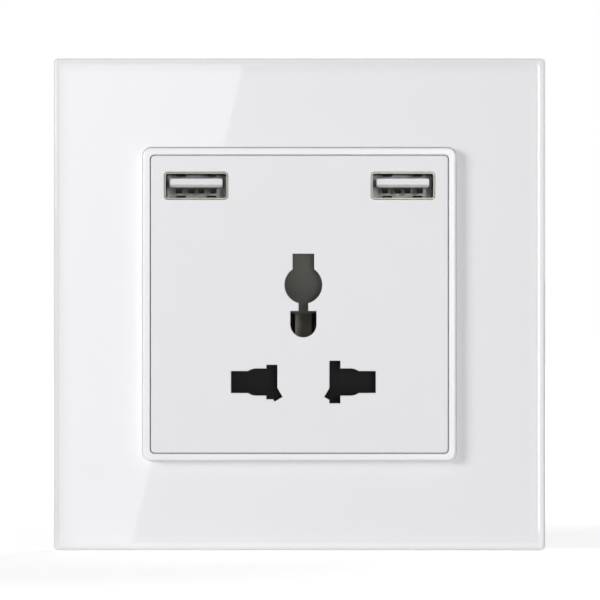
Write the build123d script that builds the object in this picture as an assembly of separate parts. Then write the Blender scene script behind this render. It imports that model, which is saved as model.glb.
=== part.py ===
from build123d import *
import os

# A flush wall socket with a glass front, three universal pin holes and two USB charging ports.
# Millimetres. X runs right, Z up, and Y into the wall, so the front looks along -Y.
# The origin is on the wall plane, midway between the two fixing screws.
# Depths are given as heights over the wall: y = -height.

# Front trim
panel_width = 100.0
panel_height = 100.0
panel_corner = 0.8
glass_back = 5.0
glass_thickness = 4.0
bevel_width = 1.7
bevel_depth = 0.6
case_gap = 0.4
ring_corner = 1.7
ring_wall = 1.45
ring_stand = 2.2
ring_edge = 0.45
ring_inner_edge = 0.2
glass_gap = 0.15
carrier_inset = 1.0
carrier_wall = 1.8
carrier_web = 1.6
ledge_width = 1.35
ledge_thickness = 1.8
ledge_corner = 3.4
plate_gap = 0.15
plate_thickness = 1.8
plate_sink = 0.2
plate_edge = 0.3
hole_edge = 0.15
peg_radius = 0.6
peg_inset = 1.45
peg_proud = 0.4

# Pin holes, measured from the middle of the line through the live and neutral pins
pattern_x = 0.8
pattern_z = -15.8
bar_inner = 9.6
bar_outer = 14.7
bar_height = 4.45
round_centre = 9.6
round_radius = 2.75
blade_centre = 6.4
blade_width = 2.23
blade_height_left = 7.0
blade_height_right = 8.65
slant_centre_x = 6.65
slant_centre_z = -0.73
slant_width = 1.9
slant_length = 6.4
slant_angle = 30.0
earth_bar_width = 4.38
earth_bar_top = 26.05
earth_round_centre = 19.74
earth_round_radius = 3.83
earth_neck_width = 1.94
earth_dee_top = 14.42
earth_dee_centre = 11.73
earth_dee_radius = 2.65

# USB ports
port_inset_x = 7.6
port_inset_z = 4.55
shell_width = 12.9
shell_height = 5.5
shell_sheet = 0.3
shell_corner = 0.7
shell_length = 13.7
port_gap = 0.1
tab_x = 3.1
tab_width = 1.9
tab_window = 2.5
tab_root = 3.6
tab_crest = 6.8
tab_tip = 9.0
tab_dip = 0.5
tongue_width = 10.7
tongue_corner = 0.4
tongue_low = -0.3
tongue_high = 1.45
tongue_recess = 0.7
tongue_chamfer = 0.55
tongue_root = 1.5
contact_places = (-3.5, -1.0, 1.0, 3.5)
contact_width = 1.2
contact_sheet = 0.2
nose_dip = 1.15
nose_length = 4.8
nose_crest = 1.8
nose_tip = 0.6
nose_tip_drop = 0.1

# Case
case_width = 57.2
case_corner = 3.0
case_wall = 1.4
case_front = 7.4
case_back = -20.4
floor_back = 0.0
floor_thickness = 1.6
notch_half = 7.0
notch_margin = 1.75
flange_reach = 6.4
flange_height = 52.0
flange_notch_half = 8.0
flange_thickness = 1.8
inner_cover_thickness = 1.5
rear_cover_thickness = 1.6
cover_edge = 0.5
case_screw_inset = 3.2
case_screw_z = 9.8
case_boss_radius = 2.6
case_screw_radius = 1.2
case_head_radius = 2.3
case_head_height = 1.6
screw_gap = 0.1
pilot_depth = 1.1

# Yoke and its clips
yoke_width = 84.0
yoke_corner = 5.0
yoke_sheet = 1.2
yoke_gap = 0.3
yoke_lip_height = 3.0
yoke_lip_length = 60.0
fixing_spacing = 60.3
fixing_radius = 2.1
fixing_length = 8.4
yoke_screw_reach = 2.9
yoke_screw_z = 20.0
yoke_screw_radius = 1.25
yoke_head_radius = 2.3
clip_x = 20.0
clip_width = 6.0
clip_sheet = 0.4
clip_foot = 7.0
clip_edge_gap = 1.2
clip_gap = 0.5
clip_crest_height = 2.1
clip_lead = 1.4
catch_depth = 0.8
catch_width = 8.0
catch_low = 0.3
catch_high = 1.3

# Shutter and springs
shutter_travel = 12.8
shutter_sheet = 1.0
shutter_gap = 0.2
door_inner = 4.0
door_outer = 15.0
door_half = 4.9
door_ramp = 1.6
earth_door_half = 4.25
earth_door_margin = 0.5
earth_ramp_top = 6.9
earth_ramp_low = 3.2
ramp_peg_radius = 0.8
ramp_peg_spacing = 7.0
arm_outer = 7.6
arm_top = 22.0
rail_gap = 0.25
rail_width = 1.0
spring_x = 10.5
spring_radius = 1.6
spring_wire = 0.4
spring_turns = 9
spring_length = 19.6
spring_peg_radius = 0.9
spring_peg_length = 2.5
stop_width = 4.6
stop_thickness = 1.2

# Contacts and terminals
chamber_wall = 1.1
chamber_inner = 3.9
chamber_outer = 15.2
chamber_half = 5.2
earth_chamber_half = 4.7
earth_chamber_low = 8.4
earth_chamber_high = 26.7
web_front = -12.4
web_sheet = 0.6
web_overlap = 0.6
web_inner = 4.4
tail_reach = 3.2
tail_overlap = 1.2
leaf_grip = -4.5
leaf_mouth = -0.8
pin_leaf_inner = 8.7
pin_leaf_outer = 14.6
pin_leaf_root = 3.2
pin_leaf_grip = 2.1
pin_leaf_mouth = 3.9
blade_leaf_sheet = 0.5
blade_leaf_half = 4.4
blade_leaf_root = 1.3
blade_leaf_grip = 0.9
blade_leaf_mouth = 1.65
earth_leaf_grip_depth = -7.0
earth_leaf_root = 3.2
earth_leaf_grip = 2.0
earth_leaf_mouth = 3.9
block_width = 8.4
block_height = 9.0
block_depth = 7.0
terminal_inset = 10.4
terminal_gap = 1.0
earth_terminal_z = 1.0
wire_radius = 2.0
wire_wall = 0.6
wire_entry = 0.6
clamp_radius = 1.5
clamp_gap = 0.05
clamp_travel = 3.0
clamp_clear = 0.1
clamp_head_radius = 2.8
clamp_head_height = 1.8
clamp_head_lift = 0.2
drive_width = 0.8
drive_depth = 1.0
drive_length = 3.6
pad_radius = 1.2
pad_thickness = 0.8
hatch_radius = 3.2
seat_wall = 0.9

# Charger
board_side_gap = 0.4
board_top_gap = 0.3
board_low_gap = 0.7
board_thickness = 1.6
divider_low = 11.4
divider_thickness = 1.2
standoff_inset = 2.6
standoff_radius = 2.2
board_screw_radius = 1.0
board_head_radius = 1.8
board_head_height = 1.2
board_screw_bite = 2.4
core_width = 13.0
core_thickness = 6.0
core_depth = 12.0
core_drop = 0.6
leg_half = 2.2
yoke_leg = 2.4
side_leg = 1.6
winding_over = 2.2
winding_gap = 0.1
part_margin = 0.5
part_gap = 0.2
input_cap_radius = 4.2
input_cap_length = 13.0
output_cap_radius = 3.2
output_cap_length = 10.0
cap_edge = 0.5
choke_radius = 2.2
choke_length = 6.0
chip_width = 5.0
chip_height = 4.0
chip_thickness = 1.5
rectifier_x = -7.0
rectifier_width = 4.6
rectifier_height = 3.9
rectifier_thickness = 2.2
rectifier_inset = 3.0
fuse_inset = 3.7
fuse_radius = 1.4
fuse_length = 6.5
lead_offset = 12.2
lead_radius = 0.8
lead_bend = 2.2
lead_depth = -17.0
lead_inset = 1.8
lead_contact_z = -12.0
lead_slot = 2.6

# Values that follow from the sizes above
ledge_opening = case_width + 2 * case_gap
ring_inner = ledge_opening + 2 * ledge_width
ring_width = ring_inner + 2 * ring_wall
glass_front = glass_back + glass_thickness
ring_front = glass_front + ring_stand
plate_front = ring_front - plate_sink
plate_back = plate_front - plate_thickness
plate_width = ring_inner - 2 * plate_gap
web_back = glass_back - carrier_web
carrier_width = panel_width - 2 * carrier_inset
carrier_height = panel_height - 2 * carrier_inset
rim_half = carrier_height / 2 - carrier_wall
inner_cover_front = case_front + inner_cover_thickness
floor_front = floor_back + floor_thickness
notch_reach = fixing_spacing / 2 - fixing_length / 2 - notch_margin
flange_width = case_width + 2 * flange_reach
case_screw_x = case_width / 2 - case_screw_inset
yoke_screw_x = case_width / 2 + yoke_screw_reach
port_x = case_width / 2 - port_inset_x
port_z = case_width / 2 - port_inset_z
shell_front = plate_front
board_front = shell_front - shell_length
board_back = board_front - board_thickness
board_width = case_width - 2 * (case_wall + board_side_gap)
board_low = divider_low + divider_thickness + board_low_gap
board_high = case_width / 2 - case_wall - board_top_gap
board_middle = (board_low + board_high) / 2
standoff_x = (core_width / 2 + port_x - shell_width / 2) / 2
standoff_z = board_high - standoff_inset
core_z = board_middle - core_drop
input_cap_x = input_cap_radius + part_margin - board_width / 2
choke_x = board_width / 2 - choke_radius - part_margin
output_cap_x = choke_x - choke_radius - output_cap_radius - part_gap
rectifier_z = board_low + rectifier_inset
fuse_x = -(standoff_x + board_head_radius + fuse_radius + part_gap)
fuse_z = board_high - fuse_inset
lead_board_z = board_low + lead_inset
web_back_face = web_front - web_sheet
block_back = web_back_face - block_depth
terminal_x = case_width / 2 - terminal_inset
terminal_z = block_height / 2 + terminal_gap + case_wall - case_width / 2
web_outer = terminal_x + tail_reach
wire_depth = web_back_face - wire_wall - wire_radius
clamp_tip = wire_depth - wire_radius - clamp_clear - pad_thickness
clamp_head_under = block_back - clamp_travel - clamp_head_lift
shutter_back = floor_front + shutter_gap
door_front = shutter_back + shutter_sheet
door_top = pattern_z + door_half
spring_stop = door_top + spring_length
peg_place = ring_inner / 2 - peg_inset
earth_door_low = pattern_z + earth_dee_top - earth_door_margin
earth_door_high = pattern_z + earth_bar_top + earth_door_margin


def slab(outline, back, front):
    """A prism from an outline drawn as seen from the front, between two heights over the wall."""
    return extrude(Plane.XZ.offset(back) * outline, front - back, dir=(0, -1, 0))


def across(profile, left, right):
    """A prism from a profile drawn in Y and Z, between two X positions."""
    return extrude(Plane.YZ.offset(left) * profile, right - left, dir=(1, 0, 0))


def upright(profile, low, high):
    """A prism from a profile drawn in X and Y, between two Z positions."""
    return extrude(Plane.XY.offset(low) * profile, high - low, dir=(0, 0, 1))


def box_outline(left, right, low, high):
    """A rectangle by its four sides."""
    return Pos((left + right) / 2, (low + high) / 2) * Rectangle(right - left, high - low)


def square_outline(width, radius):
    """A square with rounded corners, centred on the panel."""
    return RectangleRounded(width, width, radius)


def at_corners(x, z, shape):
    """The same shape at four places that mirror each other about the panel's middle."""
    return [Pos(sx * x, sz * z) * shape for sx in (-1, 1) for sz in (-1, 1)]


def at_height(x, z, height):
    """A point seen from the front at X and Z, at a height over the wall."""
    return Vector(x, -height, z)


def rear_pin(x, z, radius, back, front):
    """A round pin along Y."""
    return slab(Pos(x, z) * Circle(radius), back, front)


def side_hole(side, blade_height, grow):
    """The live or neutral hole: flat bar, round pin, upright blade and slanted blade in one outline."""
    middle = (bar_inner + bar_outer) / 2
    bar = Pos(side * middle, 0) * Rectangle(bar_outer - bar_inner + grow, bar_height + grow)
    pin = Pos(side * round_centre, 0) * Circle(round_radius + grow / 2)
    link_middle = (round_centre + blade_centre) / 2
    link = Pos(side * link_middle, 0) * Rectangle(round_centre - blade_centre, 2 * round_radius + grow)
    blade = Pos(side * blade_centre, 0) * Rectangle(blade_width + grow, blade_height + grow)
    turned = Rot(0, 0, -side * slant_angle) * Rectangle(slant_width + grow, slant_length + grow)
    slant = Pos(side * slant_centre_x, slant_centre_z) * turned
    return bar + pin + link + blade + slant


def earth_hole(grow):
    """The earth hole: flat bar over a round pin, a narrow neck and a round-bottomed pin below it."""
    bar_low = earth_round_centre
    bar_middle = (bar_low + earth_bar_top) / 2
    bar = Pos(0, bar_middle) * Rectangle(earth_bar_width + grow, earth_bar_top - bar_low + grow)
    pin = Pos(0, earth_round_centre) * Circle(earth_round_radius + grow / 2)
    neck_middle = (earth_round_centre + earth_dee_centre) / 2
    neck = Pos(0, neck_middle) * Rectangle(earth_neck_width + grow, earth_round_centre - earth_dee_centre)
    dee_middle = (earth_dee_top + earth_dee_centre) / 2
    dee_height = earth_dee_top - earth_dee_centre + grow
    dee = Pos(0, dee_middle) * Rectangle(2 * earth_dee_radius + grow, dee_height)
    dee_round = Pos(0, earth_dee_centre) * Circle(earth_dee_radius + grow / 2)
    return bar + pin + neck + dee + dee_round


def pin_holes(grow):
    """All three pin holes in their place on the panel, larger than the seen ones by grow."""
    left = side_hole(-1, blade_height_left, grow)
    right = side_hole(1, blade_height_right, grow)
    return Pos(pattern_x, pattern_z) * (left + right + earth_hole(grow))


def port_holes(gap):
    """The two openings that the USB shells stand in."""
    opening = RectangleRounded(shell_width + 2 * gap, shell_height + 2 * gap, shell_corner + gap)
    return Pos(-port_x, port_z) * opening + Pos(port_x, port_z) * opening


def case_outline(grow):
    """The case seen from the front: a square, notched left and right for the wall box's screws."""
    outline = square_outline(case_width + 2 * grow, case_corner + grow)
    reach = notch_reach + grow
    far = case_width
    for side in (-1, 1):
        notch = Pos(side * (reach + far) / 2, 0) * Rectangle(far - reach, 2 * (notch_half - grow))
        outline = outline - notch
    return outline


def glass_panel():
    """Toughened glass with a square cut-out and a shallow polished bevel round the front."""
    full = RectangleRounded(panel_width, panel_height, panel_corner)
    inside = RectangleRounded(
        panel_width - 2 * bevel_width, panel_height - 2 * bevel_width, panel_corner
    )
    bevel_start = glass_front - bevel_depth
    edge = slab(full, glass_back, bevel_start)
    low = Plane.XZ.offset(bevel_start) * full
    high = Plane.XZ.offset(glass_front) * inside
    face = loft([low, high], ruled=True)
    opening = square_outline(ring_width + 2 * glass_gap, ring_corner + glass_gap)
    return edge + face - slab(opening, glass_back, glass_front)


def panel_carrier():
    """One moulding: rim on the wall, web behind the glass, ring through the glass, ledge for the plate."""
    outer = RectangleRounded(carrier_width, carrier_height, panel_corner)
    hollow = RectangleRounded(
        carrier_width - 2 * carrier_wall, carrier_height - 2 * carrier_wall, panel_corner
    )
    shell = slab(outer, 0, glass_back) - slab(hollow, 0, web_back)
    ring = slab(square_outline(ring_width, ring_corner), web_back, ring_front)
    outer_edge = ring.faces().sort_by(Axis.Y)[0].edges()
    ring = fillet(outer_edge, ring_edge)
    opening = square_outline(ring_inner, ring_corner - ring_wall / 2)
    body = shell + ring - slab(opening, web_back, ring_front)
    inner_edge = body.faces().sort_by(Axis.Y)[0].inner_wires().edges()
    body = fillet(inner_edge, ring_inner_edge)
    ledge = opening - square_outline(ledge_opening, ledge_corner)
    for hole in at_corners(peg_place, peg_place, Circle(peg_radius + clamp_gap)):
        ledge = ledge - hole
    body = body + slab(ledge, plate_back - ledge_thickness, plate_back)
    for side_x in (-1, 1):
        for side_z in (-1, 1):
            middle = side_z * (rim_half - catch_depth / 2)
            catch = Pos(side_x * clip_x, middle) * Rectangle(catch_width, catch_depth)
            body = body + slab(catch, catch_low, catch_high)
    return body


def face_plate():
    """The flat plate inside the ring, with the pin holes, the USB openings and four staked pegs."""
    corner = ring_corner - ring_wall / 2 - plate_gap
    plate = slab(square_outline(plate_width, corner), plate_back, plate_front)
    plate = fillet(plate.faces().sort_by(Axis.Y)[0].edges(), plate_edge)
    plate = plate - slab(pin_holes(0), plate_back, plate_front)
    front_edges = plate.faces().sort_by(Axis.Y)[0].inner_wires().edges()
    plate = fillet(front_edges, hole_edge)
    plate = plate - slab(port_holes(port_gap), plate_back, plate_front)
    peg_end = plate_back - ledge_thickness - peg_proud
    for peg in at_corners(peg_place, peg_place, Circle(peg_radius)):
        plate = plate + slab(peg, peg_end, plate_back)
    return plate


def inner_cover():
    """The lid on the case that keeps the shutter in, with pin holes a little larger than the plate's."""
    lid = slab(case_outline(0), case_front, inner_cover_front)
    lid = lid - slab(pin_holes(2 * plate_gap), case_front, inner_cover_front)
    lid = lid - slab(port_holes(2 * port_gap), case_front, inner_cover_front)
    for pilot in at_corners(case_screw_x, case_screw_z, Circle(case_screw_radius)):
        lid = lid - slab(pilot, case_front, case_front + pilot_depth)
    return lid


def contact_chamber(side):
    """The walls round one live or neutral contact; the contact's web rests on their rear ends."""
    left, right = sorted((side * chamber_inner, side * chamber_outer))
    inside = box_outline(left, right, -chamber_half, chamber_half)
    outside = box_outline(
        left - chamber_wall, right + chamber_wall, -chamber_half - chamber_wall, chamber_half + chamber_wall
    )
    return slab(Pos(pattern_x, pattern_z) * (outside - inside), web_front, floor_back)


def earth_chamber():
    """The walls round the earth contact, open towards the divider above it."""
    low, high = earth_chamber_low, earth_chamber_high
    inside = box_outline(-earth_chamber_half, earth_chamber_half, low, high)
    half = earth_chamber_half + chamber_wall
    outside = box_outline(-half, half, low - chamber_wall, high)
    return slab(Pos(pattern_x, pattern_z) * (outside - inside), web_front, floor_back)


def shutter_guides():
    """Ribs on the floor: rails beside the doors, a stop below them and the springs' upper seats."""
    low = pattern_z - door_half - shutter_gap
    high = door_top + shutter_travel
    seat_high = spring_stop + stop_thickness
    guides = []
    for side in (-1, 1):
        inner = side * (door_outer + rail_gap)
        left, right = sorted((inner, inner + side * rail_width))
        guides.append(box_outline(left, right, low - stop_thickness - pattern_z, high - pattern_z))
        left, right = sorted((side * door_inner, inner))
        guides.append(box_outline(left, right, low - stop_thickness - pattern_z, low - pattern_z))
        left = side * spring_x - stop_width / 2
        seat_low = spring_stop - pattern_z
        guides.append(box_outline(left, left + stop_width, seat_low, seat_high - pattern_z))
    return [slab(Pos(pattern_x, pattern_z) * guide, floor_front, case_front) for guide in guides]


def terminal_places():
    """X and Z of the neutral, earth and live terminal screws."""
    return (
        (pattern_x - terminal_x, terminal_z),
        (pattern_x, earth_terminal_z),
        (pattern_x + terminal_x, terminal_z),
    )


def socket_housing():
    """The case: walls, a floor behind the shutter, contact chambers, bosses and a flange for the yoke."""
    inside = case_outline(-case_wall)
    case = slab(case_outline(0), case_back, case_front)
    case = case - slab(inside, case_back, floor_back) - slab(inside, floor_front, case_front)
    flange = Rectangle(flange_width, flange_height) - case_outline(0)
    reach = flange_width
    for side in (-1, 1):
        middle = side * (notch_reach + reach) / 2
        flange = flange - Pos(middle, 0) * Rectangle(reach - notch_reach, 2 * flange_notch_half)
    for hole in at_corners(yoke_screw_x, yoke_screw_z, Circle(yoke_screw_radius)):
        flange = flange - hole
    case = case + slab(flange, yoke_sheet, yoke_sheet + flange_thickness)
    for boss in at_corners(case_screw_x, case_screw_z, Circle(case_boss_radius)):
        case = case + (slab(boss, case_back, case_front) & slab(case_outline(0), case_back, case_front))
    divider = box_outline(-case_width / 2, case_width / 2, divider_low, divider_low + divider_thickness)
    case = case + slab(divider & case_outline(0), case_back, floor_back)
    case = case + contact_chamber(-1) + contact_chamber(1) + earth_chamber()
    for guide in shutter_guides():
        case = case + guide
    for side in (-1, 1):
        case = case + rear_pin(side * standoff_x, standoff_z, standoff_radius, board_front, floor_back)
    case = case - slab(pin_holes(4 * plate_gap), floor_back, floor_front)
    case = case - slab(port_holes(2 * port_gap), case_back, case_front)
    for bore in at_corners(case_screw_x, case_screw_z, Circle(case_screw_radius + screw_gap)):
        case = case - slab(bore, case_back, case_front)
    for side in (-1, 1):
        pilot_end = board_front + board_screw_bite
        case = case - rear_pin(side * standoff_x, standoff_z, board_screw_radius, board_front, pilot_end)
        slot_x = pattern_x + side * lead_offset
        slot = box_outline(
            slot_x - lead_slot / 2, slot_x + lead_slot / 2, divider_low, divider_low + divider_thickness
        )
        case = case - slab(slot, case_back, lead_depth + lead_slot)
    for x, z in terminal_places():
        entry = Pos(x, -wire_depth) * Circle(wire_radius + wire_entry)
        case = case - upright(entry, -case_width / 2, -case_width / 2 + case_wall)
    return case


def rear_cover():
    """The rear lid: hatches for the terminal screws, each with a rim that holds its block in place."""
    lid_back = case_back - rear_cover_thickness
    lid = slab(case_outline(0), lid_back, case_back)
    lid = fillet(lid.faces().sort_by(Axis.Y)[-1].edges(), cover_edge)
    for x, z in terminal_places():
        rim = Circle(hatch_radius + seat_wall)
        lid = lid + slab(Pos(x, z) * rim, case_back, block_back)
        lid = lid - rear_pin(x, z, hatch_radius, lid_back, block_back)
    for hole in at_corners(case_screw_x, case_screw_z, Circle(case_screw_radius + screw_gap)):
        lid = lid - slab(hole, lid_back, case_back)
    return lid


def case_screws():
    """Four long screws from behind that hold the rear cover, the case and the inner cover together."""
    under_head = case_back - rear_cover_thickness
    tip = case_front + pilot_depth
    screws = []
    for sx in (-1, 1):
        for sz in (-1, 1):
            x, z = sx * case_screw_x, sz * case_screw_z
            shank = rear_pin(x, z, case_screw_radius, under_head, tip)
            head = rear_pin(x, z, case_head_radius, under_head - case_head_height, under_head)
            screws.append(cross_drive(shank + head, x, z, under_head - case_head_height))
    return Compound(children=screws)


def cross_drive(screw, x, z, head_back):
    """Cuts a cross recess into a screw head that faces the rear."""
    one = Rectangle(drive_length, drive_width)
    other = Rectangle(drive_width, drive_length)
    return screw - slab(Pos(x, z) * (one + other), head_back, head_back + drive_depth)


def mounting_yoke():
    """The steel yoke on the wall: a window round the case, two slots for the box screws, folded lips."""
    sheet = square_outline(yoke_width, yoke_corner) - case_outline(yoke_gap)
    for side in (-1, 1):
        sheet = sheet - Pos(side * fixing_spacing / 2, 0) * SlotOverall(fixing_length, 2 * fixing_radius)
    yoke = slab(sheet, 0, yoke_sheet)
    for side in (-1, 1):
        lip_x = side * (yoke_width - yoke_sheet) / 2
        yoke = yoke + slab(Pos(lip_x, 0) * Rectangle(yoke_sheet, yoke_lip_length), 0, yoke_lip_height)
    for sx in (-1, 1):
        for sz in (-1, 1):
            yoke = yoke - yoke_screw(sx * yoke_screw_x, sz * yoke_screw_z)
    return yoke


def yoke_screw(x, z):
    """A countersunk screw from behind the yoke into the case's flange."""
    shank = rear_pin(x, z, yoke_screw_radius, 0, yoke_sheet + flange_thickness)
    low = Plane.XZ * (Pos(x, z) * Circle(yoke_head_radius))
    high = Plane.XZ.offset(yoke_sheet) * (Pos(x, z) * Circle(yoke_screw_radius))
    return shank + loft([low, high], ruled=True)


def yoke_screws():
    """The four screws that hold the case to the yoke, each with a cross recess."""
    screws = []
    for sx in (-1, 1):
        for sz in (-1, 1):
            x, z = sx * yoke_screw_x, sz * yoke_screw_z
            screws.append(cross_drive(yoke_screw(x, z), x, z, 0))
    return Compound(children=screws)


def trim_clips():
    """Four leaf springs on the yoke whose noses stand in front of the carrier's catches."""
    half = clip_sheet / 2
    edge = yoke_width / 2 - clip_edge_gap
    nose = rim_half - clip_gap - half
    foot_height = yoke_sheet + half
    tip_height = clip_crest_height + clip_lead
    leaves = []
    for sx in (-1, 1):
        for sz in (-1, 1):
            foot = (-foot_height, sz * (edge - clip_foot))
            bend = (-foot_height, sz * edge)
            crest = (-clip_crest_height, sz * nose)
            tip = (-tip_height + clip_sheet, sz * (nose - clip_lead))
            profile = trace(Polyline(foot, bend, crest, tip), clip_sheet)
            left = sx * clip_x - clip_width / 2
            leaves.append(across(profile, left, left + clip_width))
    return Compound(children=leaves)


def shutter_wedge(left, right, low, high, back, front_low, front_high):
    """A plate that is thicker towards the top, so that a pin pushing on it drives it up."""
    profile = Polygon(
        (-back, low), (-back, high), (-front_high, high), (-front_low, low), align=None
    )
    return across(profile, left, right)


def ramp_pegs(radius, front):
    """The two pegs that join the earth ramp to the slider, up to a height over the wall."""
    middle = (earth_door_low + earth_door_high) / 2
    places = (middle - ramp_peg_spacing / 2, middle + ramp_peg_spacing / 2)
    return [rear_pin(pattern_x, z, radius, shutter_back, front) for z in places]


def earth_ramp():
    """The ramp block on the slider, behind the earth hole: the earth pin pushes it up."""
    left, right = pattern_x - earth_door_half, pattern_x + earth_door_half
    block = shutter_wedge(
        left, right, earth_door_low, earth_door_high, door_front, earth_ramp_low, earth_ramp_top
    )
    for peg in ramp_pegs(ramp_peg_radius, door_front):
        block = block + peg
    return block


def safety_shutter():
    """One slider: ramped doors, a flat plate under the earth ramp, two flat arms and spring pegs."""
    left, right = pattern_x - earth_door_half, pattern_x + earth_door_half
    slider = slab(box_outline(left, right, earth_door_low, earth_door_high), shutter_back, door_front)
    for hole in ramp_pegs(ramp_peg_radius + clamp_gap, door_front):
        slider = slider - hole
    for side in (-1, 1):
        left, right = sorted((pattern_x + side * door_inner, pattern_x + side * door_outer))
        low = pattern_z - door_half
        ramp_front = door_front + door_ramp
        slider = slider + shutter_wedge(left, right, low, door_top, shutter_back, door_front, ramp_front)
        left, right = sorted((pattern_x + side * earth_door_half, pattern_x + side * arm_outer))
        arm = box_outline(left, right, door_top - shutter_sheet, pattern_z + arm_top)
        slider = slider + slab(arm, shutter_back, door_front)
        peg = Pos(pattern_x + side * spring_x, -spring_height()) * Circle(spring_peg_radius)
        slider = slider + upright(peg, door_top - shutter_sheet, door_top + spring_peg_length)
        pad_middle = pattern_x + side * spring_x
        pad = box_outline(
            pad_middle - stop_width / 2, pad_middle + stop_width / 2, door_top - shutter_sheet, door_top
        )
        slider = slider + slab(pad, shutter_back, spring_height() + spring_radius)
    return slider


def spring_height():
    """The springs' axis lies midway between the floor and the inner cover."""
    return (floor_front + case_front) / 2


def shutter_spring(side):
    """A compression spring from a door's top edge up to its seat on the floor."""
    wire = spring_wire / 2
    height = spring_length - 2 * wire
    start = at_height(pattern_x + side * spring_x, door_top + wire, spring_height())
    path = Helix(height / spring_turns, height, spring_radius, center=start)
    section = Plane(origin=path @ 0, z_dir=path % 0) * Circle(wire)
    return sweep(section, path=path, is_frenet=True)


def pin_contact(side):
    """Live or neutral contact: a web with two leaves for thick pins, two for blades, and a terminal tail."""
    left, right = sorted((side * web_inner, side * (chamber_outer + web_overlap)))
    half = chamber_half + web_overlap
    plate = box_outline(left, right, -half, half)
    left, right = sorted((side * (chamber_outer - tail_overlap), side * web_outer))
    tail = box_outline(left, right, terminal_z - pattern_z - block_height / 2 + web_overlap, half)
    contact = slab(Pos(pattern_x, pattern_z) * (plate + tail), web_back_face, web_front)
    root = -(web_front - web_sheet / 2)
    for way in (-1, 1):
        leaf = Polyline(
            (root, pattern_z + way * pin_leaf_root),
            (-leaf_grip, pattern_z + way * pin_leaf_grip),
            (-leaf_mouth, pattern_z + way * pin_leaf_mouth),
        )
        left, right = sorted((pattern_x + side * pin_leaf_inner, pattern_x + side * pin_leaf_outer))
        contact = contact + across(trace(leaf, web_sheet), left, right)
        middle = pattern_x + side * blade_centre
        blade = Polyline(
            (middle + way * blade_leaf_root, root),
            (middle + way * blade_leaf_grip, -leaf_grip),
            (middle + way * blade_leaf_mouth, -leaf_mouth),
        )
        low, high = pattern_z - blade_leaf_half, pattern_z + blade_leaf_half
        contact = contact + upright(trace(blade, blade_leaf_sheet), low, high)
    return contact


def earth_contact():
    """Earth contact: a web with a pair of side leaves over the whole height of the earth hole."""
    low = earth_chamber_low - web_overlap
    half = earth_chamber_half + web_overlap
    high = earth_chamber_high - web_overlap
    plate = Pos(pattern_x, pattern_z) * box_outline(-half, half, low, high)
    contact = slab(plate, web_back_face, web_front)
    root = -(web_front - web_sheet / 2)
    for way in (-1, 1):
        leaf = Polyline(
            (pattern_x + way * earth_leaf_root, root),
            (pattern_x + way * earth_leaf_grip, -earth_leaf_grip_depth),
            (pattern_x + way * earth_leaf_mouth, -leaf_mouth),
        )
        leaf_low = pattern_z + earth_chamber_low + web_overlap
        leaf_high = pattern_z + high - web_overlap
        contact = contact + upright(trace(leaf, web_sheet), leaf_low, leaf_high)
    return contact


def terminal_block(x, z):
    """A brass pillar block behind a contact's web: upright wire bore, clamp screw hole from behind."""
    block = slab(Pos(x, z) * Rectangle(block_width, block_height), block_back, web_back_face)
    bore = Pos(x, -wire_depth) * Circle(wire_radius)
    block = block - upright(bore, z - block_height / 2, z + block_height / 2)
    return block - rear_pin(x, z, clamp_radius + clamp_gap, block_back, wire_depth)


def clamp_screw(x, z):
    """A clamp screw, backed out as delivered, with a cross recess."""
    shank = rear_pin(x, z, clamp_radius, clamp_head_under, clamp_tip)
    head_back = clamp_head_under - clamp_head_height
    head = rear_pin(x, z, clamp_head_radius, head_back, clamp_head_under)
    return cross_drive(shank + head, x, z, head_back)


def clamp_pad(x, z):
    """The pad at a clamp screw's tip that presses on the wire without turning."""
    return rear_pin(x, z, pad_radius, clamp_tip, clamp_tip + pad_thickness)


def usb_shell(side):
    """A folded steel shell with four sprung tabs that grip the plug."""
    outer = RectangleRounded(shell_width, shell_height, shell_corner)
    inner = RectangleRounded(
        shell_width - 2 * shell_sheet, shell_height - 2 * shell_sheet, shell_corner - shell_sheet
    )
    x = side * port_x
    shell = slab(Pos(x, port_z) * (outer - inner), board_front, shell_front)
    middle = shell_height / 2 - shell_sheet / 2
    for way in (-1, 1):
        for place in (-tab_x, tab_x):
            wall = Pos(x + place, port_z + way * middle) * Rectangle(tab_window, 2 * shell_sheet)
            shell = shell - slab(wall, tab_root, tab_tip)
            tab = Polyline(
                (-tab_root + shell_sheet, port_z + way * middle),
                (-tab_root, port_z + way * middle),
                (-tab_crest, port_z + way * (middle - tab_dip)),
                (-tab_tip, port_z + way * middle),
            )
            left = x + place - tab_width / 2
            shell = shell + across(trace(tab, shell_sheet), left, left + tab_width)
    return shell


def contact_profile():
    """One USB contact seen from the side: a straight tail, then a nose that hangs below the tongue
    and turns back up to it."""
    half = contact_sheet / 2
    top = port_z + tongue_low - half
    front = shell_front - tongue_recess
    return Polyline(
        (-board_front, top),
        (-(front - nose_length), top),
        (-(front - nose_crest), top - nose_dip),
        (-(front - nose_tip), top - nose_tip_drop),
    )


def usb_contacts(side):
    """The four contacts of one port."""
    strips = []
    profile = trace(contact_profile(), contact_sheet)
    for place in contact_places:
        left = side * port_x + place - contact_width / 2
        strips.append(across(profile, left, left + contact_width))
    return Compound(children=strips)


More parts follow.
